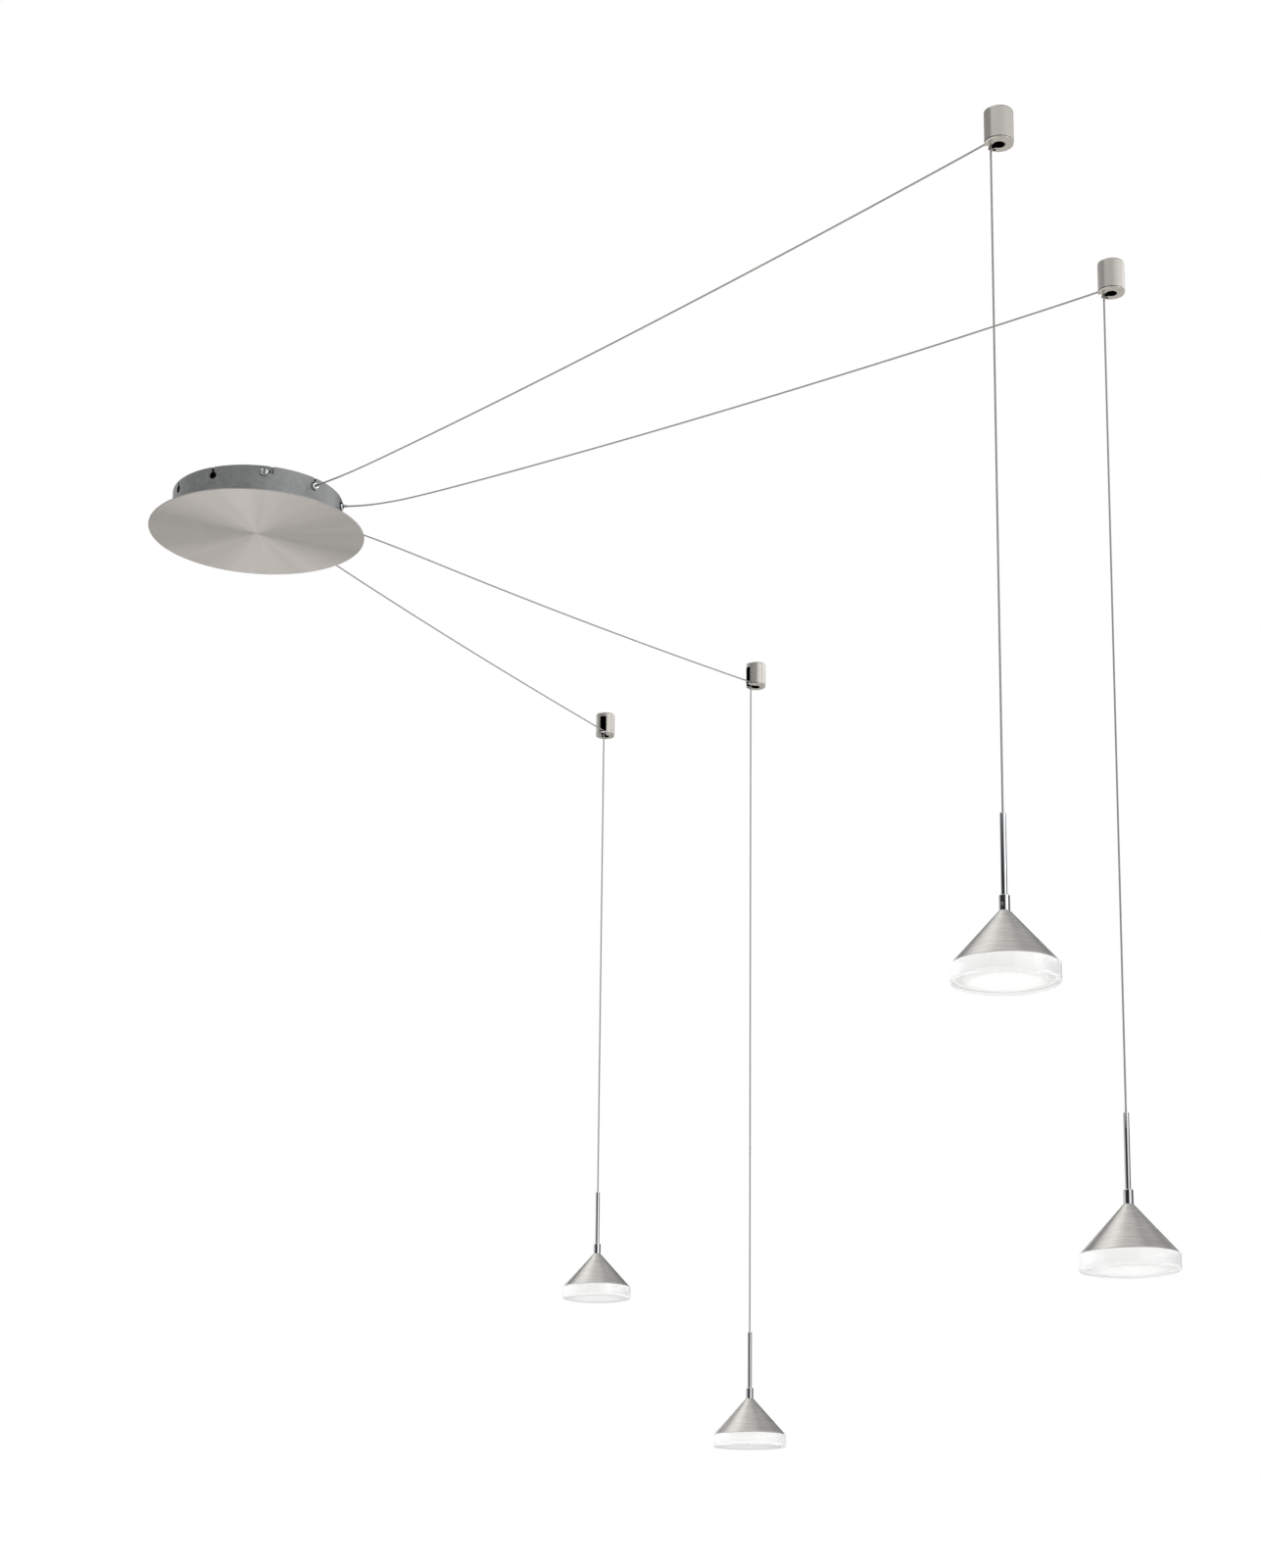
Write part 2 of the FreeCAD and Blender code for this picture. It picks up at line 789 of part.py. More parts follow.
def head_screws(angle):
    # Board screws, the nut on the collar's spigot and the collar's grub screw.
    outline = (
        (0, board_top - board_screw_length),
        (board_screw_radius, board_top - board_screw_length),
        (board_screw_radius, board_top),
        (board_screw_head_radius, board_top),
        (board_screw_head_radius, board_top + board_screw_head_height),
        (0, board_top + board_screw_head_height),
    )
    screw = turned(outline)
    pieces = [turned_to(screw, 0, place) for place in board_screw_places()]
    nut_top = cone_top - cone_web
    nut = hexagon(collar_nut_across, nut_top - collar_nut_thickness, nut_top)
    pieces.append(nut.cut(disc(collar_spigot_radius + seat_gap, 0, cone_top)))
    grub_length_here = collar_radius - tube_radius - tube_clearance - seat_gap
    grub = Part.makeCylinder(collar_screw_radius, grub_length_here)
    socket = hexagon(collar_screw_radius, grub_length_here / 2, grub_length_here + overrun)
    radius = tube_radius + tube_clearance + seat_gap
    pieces.append(on_wall(grub.cut(socket), radius, angle, collar_screw_height()))
    return pieces


def at_head(shape, name):
    return turned_to(shape, 0, hang_place(name) - up * lens_drop[name])


# Write every node.

os.makedirs("parts", exist_ok=True)

save("ceiling_bracket", [ceiling_bracket()])
save("canopy_drum", [canopy_drum()])
save("cover_plate", [cover_plate()])
save("plate_fixings", plate_fixings())
save("side_screws", side_screws())
save("cable_glands", cable_glands())
save("gland_nuts", gland_nuts())
save("led_driver", [led_driver()])
save("terminal_block", [terminal_block()])
save("bracket_screws", bracket_screws())

cup = clip_cup()
cap = clip_cap()
names = sorted(clip_x)
for name in names:
    save("clip_cup_" + name, [at_clip(cup, name)])
    save("clip_cap_" + name, [at_clip(cap, name)])
    save("ceiling_cable_" + name, [ceiling_cable(name)])
    save("drop_cable_" + name, [drop_cable(name)])
save("clip_pins", [at_clip(clip_pin(), name) for name in names])
save("clip_grub_screws", [at_clip(clip_grub_screw(), name) for name in names])

shared = {"lens": lens(), "diffuser": diffuser(), "led_board": led_board(), "shade_cone": shade_cone(),
          "stem_tube": stem_tube(), "stem_lead": stem_lead()}
for name in names:
    for piece, shape in shared.items():
        save(piece + "_" + name, [at_head(shape, name)])
    angle = collar_screw_angle[name]
    save("stem_collar_" + name, [at_head(stem_collar(angle), name)])
    save("head_screws_" + name, [at_head(piece, name) for piece in head_screws(angle)])
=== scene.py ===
import bmesh
import bpy
import math
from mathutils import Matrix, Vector


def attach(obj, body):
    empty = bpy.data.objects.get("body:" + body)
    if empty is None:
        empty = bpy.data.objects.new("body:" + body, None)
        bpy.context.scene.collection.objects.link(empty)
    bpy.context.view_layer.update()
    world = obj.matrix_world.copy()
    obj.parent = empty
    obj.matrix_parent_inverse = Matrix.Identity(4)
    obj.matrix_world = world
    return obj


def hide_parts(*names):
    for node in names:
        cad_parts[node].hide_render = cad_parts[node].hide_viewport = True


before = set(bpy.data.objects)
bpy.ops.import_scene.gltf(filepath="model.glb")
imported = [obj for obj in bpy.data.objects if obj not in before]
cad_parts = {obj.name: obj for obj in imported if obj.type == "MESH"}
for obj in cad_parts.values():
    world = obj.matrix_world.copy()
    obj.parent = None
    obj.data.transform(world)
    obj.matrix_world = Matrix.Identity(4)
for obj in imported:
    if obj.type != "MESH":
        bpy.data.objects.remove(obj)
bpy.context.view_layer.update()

# Pendant light with four heads: canopy and four clips on the ceiling, a cone shaped head under each clip.
# Metres, with the origin on the ceiling at the middle of the canopy. +Y is away from the camera.
heads = ("a", "b", "c", "d")


def linear(hexColour):
    # sRGB hex to the linear colour that the nodes work in
    channels = [int(hexColour[i:i + 2], 16) / 255 for i in (1, 3, 5)]
    return [c / 12.92 if c <= 0.04045 else ((c + 0.055) / 1.055) ** 2.4 for c in channels] + [1.0]


def addNode(tree, kind, settings=None, **inputs):
    # one node, with its settings and its inputs: a value, or another node's socket to link.
    # An underscore in an input's name stands for a space, and a name such as in1 is an input's number.
    node = tree.nodes.new(kind)
    for name, value in (settings or {}).items():
        setattr(node, name, value)
    for name, value in inputs.items():
        numbered = name.startswith("in") and name[2:].isdigit()
        socket = node.inputs[int(name[2:])] if numbered else node.inputs[name.replace("_", " ")]
        if isinstance(value, bpy.types.NodeSocket):
            tree.links.new(value, socket)
        else:
            socket.default_value = value
    return node


def newMaterial(name):
    material = bpy.data.materials.new(name)
    material.use_nodes = True
    material.node_tree.nodes.clear()
    return material, material.node_tree


def grain(tree, sizeMm, detail=3.0):
    # cloudy variation whose patches are that wide
    place = addNode(tree, "ShaderNodeTexCoord").outputs["Object"]
    noise = addNode(tree, "ShaderNodeTexNoise",
                    Vector=place, Scale=1000 / sizeMm, Detail=detail, Roughness=0.55)
    return noise.outputs["Fac"]


def fromAxis(tree, acrossBox):
    # How a place lies from the piece's own upright axis: which way sideways, how far, and its height as a
    # share of the piece's. Generated coordinates run from 0 to 1 over each piece's box, so the axis of a
    # round piece is at a half. The distance is in the unit in which acrossBox gives the piece's width.
    box = addNode(tree, "ShaderNodeTexCoord").outputs["Generated"]
    moved = addNode(tree, "ShaderNodeVectorMath", {"operation": "SUBTRACT"}, in0=box, in1=(0.5, 0.5, 0.0))
    sideways = addNode(tree, "ShaderNodeVectorMath", {"operation": "MULTIPLY"},
                       in0=moved.outputs[0], in1=(acrossBox, acrossBox, 0.0))
    distance = addNode(tree, "ShaderNodeVectorMath", {"operation": "LENGTH"}, in0=sideways.outputs[0])
    height = addNode(tree, "ShaderNodeSeparateXYZ", Vector=box)
    return sideways.outputs[0], distance.outputs["Value"], height.outputs["Z"]


def latheLines(tree, sizeMm, lineMm, streaksRound, alongRadius, alongHeight):
    # Lines that a lathe or a polishing wheel leaves round the axis of a piece of that width and height,
    # broken into streaks. They follow each other outwards, upwards or both, as the last two values say.
    sideways, radius, height = fromAxis(tree, sizeMm[0])
    outward = addNode(tree, "ShaderNodeMath", {"operation": "MULTIPLY"}, in0=radius, in1=alongRadius / lineMm)
    across = addNode(tree, "ShaderNodeMath", {"operation": "MULTIPLY_ADD"},
                     in0=height, in1=alongHeight * sizeMm[1] / lineMm, in2=outward.outputs[0])
    unit = addNode(tree, "ShaderNodeVectorMath", {"operation": "NORMALIZE"}, in0=sideways)
    around = addNode(tree, "ShaderNodeVectorMath", {"operation": "SCALE"},
                     in0=unit.outputs[0], Scale=streaksRound / math.tau)
    split = addNode(tree, "ShaderNodeSeparateXYZ", Vector=around.outputs[0])
    place = addNode(tree, "ShaderNodeCombineXYZ",
                    X=split.outputs["X"], Y=split.outputs["Y"], Z=across.outputs[0])
    noise = addNode(tree, "ShaderNodeTexNoise", Vector=place.outputs[0], Scale=1.0, Detail=2.0, Roughness=0.6)
    return noise.outputs["Fac"]


def openShare(tree, reachMm, openness, onlyLocal=False):
    # 0 where what stands within that reach shuts a place in, and 1 where it is open; it steers painted
    # shade in slots and hollows. The two values of openness are the free parts of the sky over it at
    # which it counts as the one and as the other.
    sky = addNode(tree, "ShaderNodeAmbientOcclusion", {"samples": 8, "only_local": onlyLocal},
                  Distance=reachMm / 1000)
    share = addNode(tree, "ShaderNodeMapRange",
                    Value=sky.outputs["AO"], From_Min=openness[0], From_Max=openness[1])
    return share.outputs[0]


def surface(material, tree, pattern, colour, roughness, reliefMm=0.0, **more):
    # The usual build-up: one pattern steers the roughness and the relief, and the colour too where that is
    # two hex tones and not a socket. Tones and roughness are those of the pattern's low and high places.
    if isinstance(colour, tuple):
        mixed = addNode(tree, "ShaderNodeMix", {"data_type": "RGBA"},
                        in0=pattern, in6=linear(colour[0]), in7=linear(colour[1]))
        colour = mixed.outputs[2]
    rough = addNode(tree, "ShaderNodeMapRange", Value=pattern, To_Min=roughness[0], To_Max=roughness[1])
    bump = addNode(tree, "ShaderNodeBump", Strength=0.4, Distance=reliefMm / 1000, Height=pattern)
    shader = addNode(tree, "ShaderNodeBsdfPrincipled",
                     Base_Color=colour, Roughness=rough.outputs[0], Normal=bump.outputs[0], **more)
    addNode(tree, "ShaderNodeOutputMaterial", Surface=shader.outputs[0])
    return material


# Camera. The photograph looks up at the ceiling fixture from a little below the heads.
camera = {"eye": (0.71136, -3.68827, -1.62870), "pitchUp": 12.288, "lens": 65.47, "shift": (-0.09, 0.19)}


def makeCamera():
    data = bpy.data.cameras.new("camera")
    data.sensor_width = 36
    data.lens = camera["lens"]
    data.shift_x, data.shift_y = camera["shift"]
    data.clip_start, data.clip_end = 0.05, 60
    eye = bpy.data.objects.new("camera", data)
    eye.location = camera["eye"]
    eye.rotation_euler = (math.radians(90 + camera["pitchUp"]), 0, 0)
    bpy.context.scene.collection.objects.link(eye)
    bpy.context.scene.camera = eye


makeCamera()
print("camera placed")

# Cables: 2.2 mm round, from the terminal block through a gland, along the ceiling and over the pin
# in the clip, then a second length straight down to the stem. The points are the CAD routes' own.
cable = {
    "diameter": 0.0022,
    "layMm": 2.0,  # from one wire of the braid to the next
    "slant": (0.9, 0.7),
    "tones": ("#A2A09D", "#AEACA9"),
    "roughness": (0.5, 0.4),
    "ceiling": {
        "a": {
            "length": 1.3648,
            "points": (
                (-0.0033, -0.0110, -0.0124), (0.0160, -0.0058, -0.0124), (0.0466, -0.0378, -0.0124),
                (0.1017, -0.0823, -0.0124), (0.1107, -0.0902, -0.0128), (0.1312, -0.1093, -0.0142),
                (0.1733, -0.1520, -0.0170), (0.3268, -0.3178, -0.0250), (0.5186, -0.5251, -0.0314),
                (0.7258, -0.7490, -0.0339), (0.8793, -0.9149, -0.0326), (0.9319, -0.9717, -0.0317),
                (0.9407, -0.9812, -0.0310), (0.9407, -0.9812, -0.0341)),
        },
        "b": {
            "length": 1.3054,
            "points": (
                (-0.0050, -0.0047, -0.0124), (0.0144, 0.0005, -0.0124), (0.0599, -0.0031, -0.0124),
                (0.1306, -0.0068, -0.0124), (0.1424, -0.0091, -0.0128), (0.1690, -0.0180, -0.0142),
                (0.2220, -0.0460, -0.0170), (0.3968, -0.1686, -0.0257), (0.6152, -0.3219, -0.0324),
                (0.8511, -0.4874, -0.0347), (1.0259, -0.6100, -0.0329), (1.0852, -0.6516, -0.0317),
                (1.0958, -0.6591, -0.0310), (1.0958, -0.6591, -0.0341)),
        },
        "c": {
            "length": 0.9402,
            "points": (
                (-0.0066, 0.0016, -0.0124), (0.0127, 0.0068, -0.0124), (0.0503, 0.0327, -0.0124),
                (0.1097, 0.0712, -0.0124), (0.1194, 0.0783, -0.0128), (0.1412, 0.0959, -0.0142),
                (0.1854, 0.1364, -0.0170), (0.2840, 0.2364, -0.0231), (0.4071, 0.3615, -0.0285),
                (0.5401, 0.4966, -0.0314), (0.6386, 0.5966, -0.0318), (0.6687, 0.6272, -0.0317),
                (0.6780, 0.6366, -0.0310), (0.6780, 0.6366, -0.0341)),
        },
        "d": {
            "length": 0.9756,
            "points": (
                (-0.0083, 0.0079, -0.0124), (0.0110, 0.0130, -0.0124), (0.0215, 0.0560, -0.0124),
                (0.0469, 0.1221, -0.0124), (0.0515, 0.1332, -0.0128), (0.0629, 0.1588, -0.0142),
                (0.0890, 0.2128, -0.0170), (0.1571, 0.3443, -0.0225), (0.2422, 0.5088, -0.0275),
                (0.3341, 0.6864, -0.0306), (0.4021, 0.8179, -0.0315), (0.4232, 0.8587, -0.0317),
                (0.4293, 0.8705, -0.0310), (0.4293, 0.8705, -0.0341)),
        },
    },
    "drop": {
        "a": {
            "length": 0.731,
            "points": (
                (0.94069, -0.98120, -0.0346), (0.94069, -0.98120, -0.4000), (0.94069, -0.98120, -0.7656)),
        },
        "b": {
            "length": 0.968,
            "points": (
                (1.09577, -0.65906, -0.0346), (1.09577, -0.65906, -0.5180), (1.09577, -0.65906, -1.0026)),
        },
        "c": {
            "length": 1.042,
            "points": (
                (0.67804, 0.63663, -0.0346), (0.67804, 0.63663, -0.5550), (0.67804, 0.63663, -1.0766)),
        },
        "d": {
            "length": 0.784,
            "points": (
                (0.42933, 0.87055, -0.0346), (0.42933, 0.87055, -0.4260), (0.42933, 0.87055, -0.8186)),
        },
    },
}


def cableJacket():
    # Clear soft PVC drawn over a tinned copper braid: the eye gets a light grey line with a shine along
    # it and a faint slanting weave. The real braid repeats every 0.4 mm and is drawn coarser, to show.
    material, tree = newMaterial("clearPvcOverTinnedBraid")
    place = addNode(tree, "ShaderNodeTexCoord").outputs["Object"]
    leanX, leanY = cable["slant"]
    strands = []
    for lean in (1, -1):
        slant = addNode(tree, "ShaderNodeVectorMath", {"operation": "DOT_PRODUCT"},
                        in0=place, in1=(leanX * lean, leanY * lean, 1.0))
        turns = addNode(tree, "ShaderNodeMath", {"operation": "MULTIPLY"},
                        in0=slant.outputs["Value"], in1=math.tau * 1000 / cable["layMm"])
        strands.append(addNode(tree, "ShaderNodeMath", {"operation": "SINE"}, in0=turns.outputs[0]).outputs[0])
    weave = addNode(tree, "ShaderNodeMath", {"operation": "MULTIPLY"}, in0=strands[0], in1=strands[1])
    height = addNode(tree, "ShaderNodeMath", {"operation": "MULTIPLY_ADD"},
                     in0=weave.outputs[0], in1=0.5, in2=0.5)
    return surface(material, tree, height.outputs[0], cable["tones"], cable["roughness"], reliefMm=0.01,
                   Metallic=0.2, IOR=1.53, Coat_Weight=0.3, Coat_Roughness=0.15)


jacketMaterial = cableJacket()


def hangCable(name, points, body, node):
    data = bpy.data.curves.new(name, "CURVE")
    data.dimensions = "3D"
    data.bevel_depth = cable["diameter"] / 2
    data.bevel_resolution = 4
    data.resolution_u = 16
    data.use_fill_caps = True
    line = data.splines.new("NURBS")
    line.points.add(len(points) - 1)
    for point, place in zip(line.points, points):
        point.co = (*place, 1)
    line.order_u = 3
    line.use_endpoint_u = True
    data.materials.append(jacketMaterial)
    piece = bpy.data.objects.new(name, data)
    bpy.context.scene.collection.objects.link(piece)
    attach(piece, body)
    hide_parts(node)


for head in heads:
    along, down = cable["ceiling"][head], cable["drop"][head]
    hangCable("ceilingCable_" + head, along["points"], "ceiling_fixture",
              "ceiling_cable_" + head)
    hangCable("dropCable_" + head, down["points"], "drop_" + head,
              "drop_cable_" + head)
print("cables hung")

# Ceiling canopy: cover plate, drum, and the bracket that the drum hangs on.
canopy = {
    "plateSizeMm": (294.0, 2.0),  # across and up
    "plateTones": ("#B4B0AD", "#D2CECC"),
    "plateRoughness": (0.34, 0.44),
    "ringMm": 0.9,
    "ringStreaks": 26,  # round the plate
    "ringShare": 0.5,
    # painted sheen: broad pale and dark sectors round the middle of the plate, in its colour and its roughness
    "rayMm": 500.0,  # longer than the plate's radius, so that a ray goes all the way out
    "rays": 20,
    "rayShare": 1.1,
    "plateDarker": -0.35,
    "drumTones": ("#8B8D8E", "#ABADAD"),
    "drumRoughness": (0.38, 0.52),
    "crystalMm": 5.0,
    "crystalShare": 0.4,
    "rubMm": 0.9,
    "rubShare": 0.6,
    # painted shade inside the drum: its near black tone, and how far from the axis it reaches as a share of the
    # width
    "drumShadeHex": "#161616",
    "drumShadeTo": 0.4985,  # how far from its axis, as a share of its width
    "bracketTones": ("#8A8D90", "#A5A7A6"),
    "bracketRoughness": (0.38, 0.52),
    "bracketMarksMm": 18.0,
    # painted shade on the bracket where the drum's wall stands close before it: its tone, reach and openness
    "bracketShadeHex": "#131313",
    "bracketShadeReachMm": 20.0,
    "bracketShadeOpenness": (0.5, 0.8),
}


def brushedNickelPlate():
    # Satin nickel on steel, brushed while it turned: rings round the middle too fine to count, which
    # draw the studio's lights out into pale and dark rays, and painted sheen adds broad pale and dark
    # sectors to its colour. Real lines are 0.1 mm apart, drawn coarser.
    material, tree = newMaterial("spunSatinNickel")
    rings = latheLines(tree, canopy["plateSizeMm"], canopy["ringMm"], canopy["ringStreaks"], 1, 0)
    # painted sheen: pale and dark sectors round the middle, mixed into the plate's colour
    rays = latheLines(tree, canopy["plateSizeMm"], canopy["rayMm"], canopy["rays"], 1, 0)
    both = addNode(tree, "ShaderNodeMath", {"operation": "MULTIPLY_ADD"},
                   in0=rays, in1=canopy["rayShare"], in2=canopy["plateDarker"])
    both = addNode(tree, "ShaderNodeMath", {"operation": "MULTIPLY_ADD"},
                   in0=rings, in1=canopy["ringShare"], in2=both.outputs[0])
    along = addNode(tree, "ShaderNodeTangent", {"direction_type": "RADIAL", "axis": "Z"})
    return surface(material, tree, both.outputs[0], canopy["plateTones"], canopy["plateRoughness"],
                   reliefMm=0.02, Metallic=1.0, Anisotropic=0.9, Anisotropic_Rotation=0.25,
                   Tangent=along.outputs[0])


def galvanisedSheet():
    # Grey galvanised steel, passivated: a soft dull grey with faint crystals, a little shine and rub marks.
    # The inside and the cut edges are painted near black as shade, so the keyholes look deep.
    material, tree = newMaterial("passivatedGalvanisedSteel")
    place = addNode(tree, "ShaderNodeTexCoord").outputs["Object"]
    crystals = addNode(tree, "ShaderNodeTexVoronoi",
                       Vector=place, Scale=1000 / canopy["crystalMm"], Randomness=1.0)
    crystalTone = addNode(tree, "ShaderNodeSeparateColor", Color=crystals.outputs["Color"])
    rubs = addNode(tree, "ShaderNodeMath", {"operation": "MULTIPLY"},
                   in0=grain(tree, canopy["rubMm"], 2.0), in1=canopy["rubShare"])
    both = addNode(tree, "ShaderNodeMath", {"operation": "MULTIPLY_ADD"},
                   in0=crystalTone.outputs[0], in1=canopy["crystalShare"], in2=rubs.outputs[0])
    zinc = addNode(tree, "ShaderNodeMix", {"data_type": "RGBA"}, in0=both.outputs[0],
                   in6=linear(canopy["drumTones"][0]), in7=linear(canopy["drumTones"][1]))
    # painted shade: near black on the inside and the cut edges, which lie nearer the axis than the outer face
    radius = fromAxis(tree, 1.0)[1]
    paintedShade = addNode(tree, "ShaderNodeMath", {"operation": "LESS_THAN"},
                     in0=radius, in1=canopy["drumShadeTo"])
    colour = addNode(tree, "ShaderNodeMix", {"data_type": "RGBA"}, in0=paintedShade.outputs[0],
                     in6=zinc.outputs[2], in7=linear(canopy["drumShadeHex"]))
    return surface(material, tree, both.outputs[0], colour.outputs[2], canopy["drumRoughness"], reliefMm=0.01,
                   Metallic=0.9)


def zincSheet():
    # Pressed steel sheet, dull zinc plated: grey with a cool cast and cloudy drying marks, and painted
    # shade nearly black where the drum's wall stands close before it, so the bayonet slots look deep.
    material, tree = newMaterial("dullZincSheet")
    marks = grain(tree, canopy["bracketMarksMm"], 4.0)
    zinc = addNode(tree, "ShaderNodeMix", {"data_type": "RGBA"}, in0=marks,
                   in6=linear(canopy["bracketTones"][0]), in7=linear(canopy["bracketTones"][1]))
    # painted shade: near black where the drum's wall within that reach shuts the sheet in
    unshaded = openShare(tree, canopy["bracketShadeReachMm"], canopy["bracketShadeOpenness"])
    colour = addNode(tree, "ShaderNodeMix", {"data_type": "RGBA"}, in0=unshaded,
                     in6=linear(canopy["bracketShadeHex"]), in7=zinc.outputs[2])
    return surface(material, tree, marks, colour.outputs[2], canopy["bracketRoughness"], reliefMm=0.05,
                   Metallic=1.0)


# Screws, glands, nuts, pins and tubes.
fittings = {
    "zincTones": ("#A9A69C", "#CFCDC6"),
    "zincRoughness": (0.25, 0.4),
    "zincGrainMm": 1.6,
    "blackTones": ("#0F0F0E", "#1C1B1A"),
    "blackRoughness": (0.4, 0.55),
    "blackGrainMm": 0.8,
    "chromeTones": ("#D5D8DC", "#E3E5E7"),
    "chromeRoughness": (0.03, 0.1),
    "chromeHazeMm": 9.0,
    # painted shade on the chrome: its near black tone, and the reach and openness for slots and sockets
    "chromeShadeHex": "#131313",
    "chromeShadeReachMm": 3.0,
    "chromeShadeOpenness": (0.6, 0.85),
    "shadedFrom": 0.3,  # a face under the ceiling is dark from that upward part of its normal on
}


def zincScrew():
    # Cold headed steel, zinc plated: bright, a little yellow, with fine drawing lines.
    material, tree = newMaterial("zincPlatedFastener")
    return surface(material, tree, grain(tree, fittings["zincGrainMm"]), fittings["zincTones"],
                   fittings["zincRoughness"], reliefMm=0.02, Metallic=1.0)


def blackScrew():
    # Socket screw in black oxide, oiled: nearly black, with a dull sheen on the rim of its socket.
    material, tree = newMaterial("oiledBlackOxideSteel")
    return surface(material, tree, grain(tree, fittings["blackGrainMm"]), fittings["blackTones"],
                   fittings["blackRoughness"], reliefMm=0.01, Metallic=0.4)


def polishedChrome(name, underCeiling):
    # Bright nickel and chrome plate: a mirror with a cold tint and only faint wiping haze, with painted
    # shade near black in the slots and sockets that the faces close around shut in. Fittings close under
    # the ceiling also get painted shade on their upper sides, which face the shaded gap above them.
    material, tree = newMaterial(name)
    haze = grain(tree, fittings["chromeHazeMm"], 4.0)
    plated = addNode(tree, "ShaderNodeMix", {"data_type": "RGBA"}, in0=haze,
                     in6=linear(fittings["chromeTones"][0]), in7=linear(fittings["chromeTones"][1]))
    # painted shade: near black in slots and sockets that the faces close around shut in
    unshaded = openShare(tree, fittings["chromeShadeReachMm"], fittings["chromeShadeOpenness"], not underCeiling)
    # painted shade on the upper sides of fittings under the ceiling, darker the more a face turns up
    if underCeiling:
        normal = addNode(tree, "ShaderNodeNewGeometry").outputs["Normal"]
        facing = addNode(tree, "ShaderNodeSeparateXYZ", Vector=normal)
        lit = addNode(tree, "ShaderNodeMapRange",
                      Value=facing.outputs["Z"], From_Min=fittings["shadedFrom"], From_Max=0.0)
        unshaded = addNode(tree, "ShaderNodeMath", {"operation": "MULTIPLY"},
                          in0=unshaded, in1=lit.outputs[0]).outputs[0]
    colour = addNode(tree, "ShaderNodeMix", {"data_type": "RGBA"}, in0=unshaded,
                     in6=linear(fittings["chromeShadeHex"]), in7=plated.outputs[2])
    return surface(material, tree, haze, colour.outputs[2], fittings["chromeRoughness"], Metallic=1.0)


# Driver and terminal block, in the canopy.
electrics = {
    "driverTones": ("#DFDDD7", "#EFEEE9"),
    "driverRoughness": (0.42, 0.6),
    "driverGrainMm": 0.9,
    "blockTones": ("#D2CEC0", "#E4E1D5"),
    "blockRoughness": (0.35, 0.5),
    "blockFlowMm": 7.0,
}


def mouldedAbs():
    # Injection moulded ABS with spark eroded texture: matt off-white with a fine sparkle of grain.
    material, tree = newMaterial("texturedWhiteAbs")
    return surface(material, tree, grain(tree, electrics["driverGrainMm"], 2.0), electrics["driverTones"],
                   electrics["driverRoughness"], reliefMm=0.05, IOR=1.54)


def mouldedPolyamide():
    # Moulded polyamide: waxy, faintly yellow, with soft flow marks.
    material, tree = newMaterial("naturalPolyamide")
    return surface(material, tree, grain(tree, electrics["blockFlowMm"], 2.0), electrics["blockTones"],
                   electrics["blockRoughness"], reliefMm=0.03, IOR=1.53,
                   Subsurface_Weight=0.1, Subsurface_Scale=0.002)


# Clips on the ceiling: a turned cup and the cap under it.
clip = {
    "sizeMm": (31.0, 35.8),
    "tones": ("#CBC8C1", "#D5D2CC"),
    "roughness": (0.26, 0.3),
    "lineMm": 1.6,
    "streaks": 12,
    "boreHex": "#1E1D1C",
    "boreTo": 0.485,  # how far from its axis, as a share of its width
    "cupBore": (-1.0, 0.95),  # from and to, as shares of the cup's height: all but its top
    "capBore": (0.08, 2.0),  # all but the cap's lower face
}


def turnedNickel(name, bore):
    # Turned brass, nickel plated and satin finished: warm grey, soft reflections, hardly visible rings.
    # Inside, between two shares of the piece's height, it is drawn near black, so the clip looks deep.
    material, tree = newMaterial(name)
    rings = latheLines(tree, clip["sizeMm"], clip["lineMm"], clip["streaks"], 1, 1)
    nickel = addNode(tree, "ShaderNodeMix", {"data_type": "RGBA"}, in0=rings,
                     in6=linear(clip["tones"][0]), in7=linear(clip["tones"][1]))
    radius, height = fromAxis(tree, 1.0)[1:]
    within = addNode(tree, "ShaderNodeMath", {"operation": "LESS_THAN"}, in0=radius, in1=clip["boreTo"])
    above = addNode(tree, "ShaderNodeMath", {"operation": "GREATER_THAN"}, in0=height, in1=bore[0])
    below = addNode(tree, "ShaderNodeMath", {"operation": "LESS_THAN"}, in0=height, in1=bore[1])
    between = addNode(tree, "ShaderNodeMath", {"operation": "MULTIPLY"},
                      in0=above.outputs[0], in1=below.outputs[0])
    inBore = addNode(tree, "ShaderNodeMath", {"operation": "MULTIPLY"},
                     in0=within.outputs[0], in1=between.outputs[0])
    colour = addNode(tree, "ShaderNodeMix", {"data_type": "RGBA"}, in0=inBore.outputs[0],
                     in6=nickel.outputs[2], in7=linear(clip["boreHex"]))
    along = addNode(tree, "ShaderNodeTangent", {"direction_type": "RADIAL", "axis": "Z"})
    return surface(material, tree, rings, colour.outputs[2], clip["roughness"],
                   Metallic=1.0, Anisotropic=0.25, Anisotropic_Rotation=0.25, Tangent=along.outputs[0])


# Heads: cone, lens, diffuser and board, each with its own values.
cone = {
    "sizeMm": (108.4, 55.0),
    "tones": ("#94928C", "#E4E3DF"),
    "roughness": (0.26, 0.42),
    "lineMm": 1.0,
    "lineStreaks": 16,
    "lineShare": 0.8,
    "bandMm": 5.0,
    "bandStreaks": 6,
    "bandShare": 0.4,
    "darker": -0.1,
}


